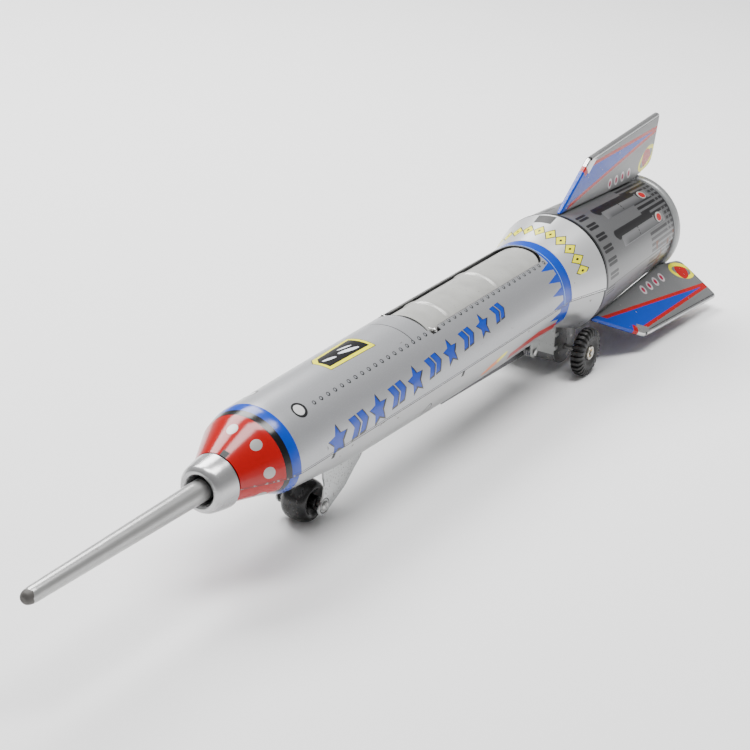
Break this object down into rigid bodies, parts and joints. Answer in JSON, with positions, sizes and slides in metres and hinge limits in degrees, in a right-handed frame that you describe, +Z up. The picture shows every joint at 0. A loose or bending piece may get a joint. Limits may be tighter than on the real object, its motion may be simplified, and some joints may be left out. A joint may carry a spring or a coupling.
{
  "type": "friction toy rocket",
  "caption": "Tin rocket on wheels that rolls on a flywheel motor; pushing in its nose probe frees an arm under the belly that stands it up, and a long hatch opens on its back.",
  "frame": {"origin": "centre of the bounding box at the floor the wheels stand on", "axes": "+Y from the nose probe to the tail, +X to the rocket's port side, +Z up"},
  "size_m": [0.0817, 0.4538, 0.091],
  "materials": {
    "body_tin": "lithographed tin, glossy",
    "belly_tin": "silver lacquered tin, satin",
    "drum_tin": "lithographed tin, glossy",
    "gray_tin": "gray painted tin, satin",
    "collar_tin": "silver painted tin, satin",
    "probe_plastic": "aged gray plastic",
    "hatch_tin": "off-white painted tin, satin",
    "fin_tin": "lithographed tin, glossy",
    "dark_tin": "dark lacquered tin",
    "black_rubber": "matt black rubber",
    "gear_brass": "plain brass",
    "flywheel_iron": "turned",
    "spring_steel": "spring wire",
    "bare_steel": "tinned sheet and drawn wire"
  },
  "bodies": {
    "hull": {"arm_bracket": "bare_steel", "arm_pin": "bare_steel", "arm_spring": "spring_steel", "drum_lower": "belly_tin", "drum_upper": "drum_tin", "fin_port": "fin_tin", "fin_starboard": "fin_tin", "fin_top": "fin_tin", "front_axle": "bare_steel", "front_fork": "bare_steel", "hatch_frame": "dark_tin", "hatch_pin": "bare_steel", "hatch_spring": "spring_steel", "lower_shell": "belly_tin", "motor_casing": "dark_tin", "motor_front": "bare_steel", "motor_plate_middle": "bare_steel", "motor_plate_port": "bare_steel", "motor_plate_starboard": "bare_steel", "motor_rear": "bare_steel", "nose_bulkhead": "bare_steel", "nose_collar": "collar_tin", "probe_spring": "spring_steel", "spring_bulkhead": "bare_steel", "tail_cap": "gray_tin", "upper_shell": "body_tin"},
    "probe": {"nose_probe": "probe_plastic", "trigger_rod": "spring_steel"},
    "hatch": {"hatch_cover": "hatch_tin"},
    "front_wheel": {"front_wheel": "black_rubber"},
    "arm": {"erecting_arm": "dark_tin"},
    "rear_wheels": {"rear_axle": "bare_steel", "axle_gear": "gear_brass", "hub_port": "bare_steel", "hub_starboard": "bare_steel", "tyre_port": "black_rubber", "tyre_starboard": "black_rubber"},
    "lay_shaft": {"lay_gear": "gear_brass"},
    "flywheel": {"flywheel_shaft": "bare_steel", "flywheel": "flywheel_iron"}
  },
  "joints": [
    {"name": "probe_slide", "type": "slide", "parent": "hull", "child": "probe", "axis": [0, 1, 0], "range_m": [0, 0.008], "stiffness_N_per_m": 100, "springref_m": -0.006, "deforming": ["probe_spring"]},
    {"name": "hatch_hinge", "type": "hinge", "parent": "hull", "child": "hatch", "pos_m": [0, -0.0024, 0.0557], "axis": [1, 0, 0], "range_deg": [0, 80], "stiffness_Nm_per_rad": 0.002, "springref_deg": -28.65, "deforming": ["hatch_spring"]},
    {"name": "front_wheel_spin", "type": "hinge", "parent": "hull", "child": "front_wheel", "pos_m": [0, -0.0744, 0.0085], "axis": [1, 0, 0], "continuous": true},
    {"name": "rear_axle_spin", "type": "hinge", "parent": "hull", "child": "rear_wheels", "pos_m": [0, 0.112, 0.011], "axis": [1, 0, 0], "continuous": true},
    {"name": "lay_shaft_spin", "type": "hinge", "parent": "hull", "child": "lay_shaft", "pos_m": [0, 0.112, 0.018], "axis": [1, 0, 0], "continuous": true},
    {"name": "flywheel_spin", "type": "hinge", "parent": "hull", "child": "flywheel", "pos_m": [0, 0.112, 0.025], "axis": [1, 0, 0], "continuous": true},
    {"name": "erecting_arm_hinge", "type": "hinge", "parent": "hull", "child": "arm", "pos_m": [0, 0.084, 0.0175], "axis": [1, 0, 0], "range_deg": [0, 100], "deforming": ["arm_spring"]}
  ],
  "couplings": [
    {"joint": "lay_shaft_spin", "follows": "rear_axle_spin", "ratio": -2.5},
    {"joint": "flywheel_spin", "follows": "rear_axle_spin", "ratio": 6.25}
  ]
}
